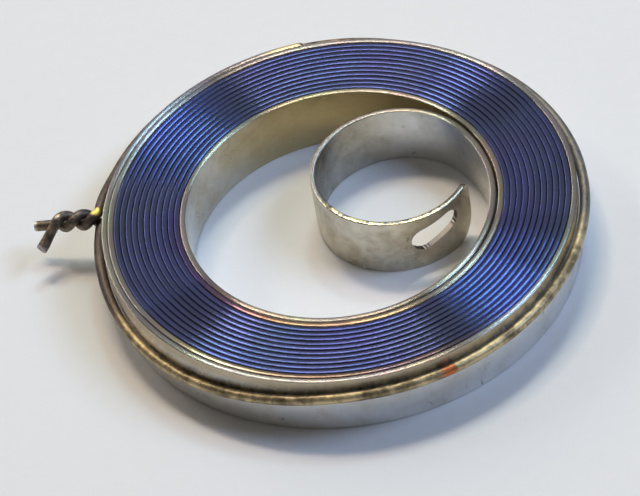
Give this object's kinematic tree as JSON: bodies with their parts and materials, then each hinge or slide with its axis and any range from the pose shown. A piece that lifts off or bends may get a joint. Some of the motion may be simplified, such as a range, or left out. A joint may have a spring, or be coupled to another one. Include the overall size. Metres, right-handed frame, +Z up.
{
  "type": "clock mainspring",
  "caption": "Flat steel strip wound into a ring-shaped coil, with an open hook loop and a pear-shaped hole at its inner end, kept closed by a twisted binding wire.",
  "frame": {"origin": "on the coil's axis, in the plane of the strip's lower edges, on which the spring lies", "axes": "+Z up along the coil's axis; the wire's twisted ends point about to -X, and the inner loop leaves the coil 30 degrees from +X"},
  "size_m": [0.0452, 0.041, 0.0055],
  "materials": {
    "spring_steel": "polished faces, blued edges, bare bright ends",
    "iron_wire": "annealed, dark brown, lightly rusted"
  },
  "bodies": {
    "root": {"mainspring": "spring_steel", "binding_wire": "iron_wire"}
  },
  "joints": []
}
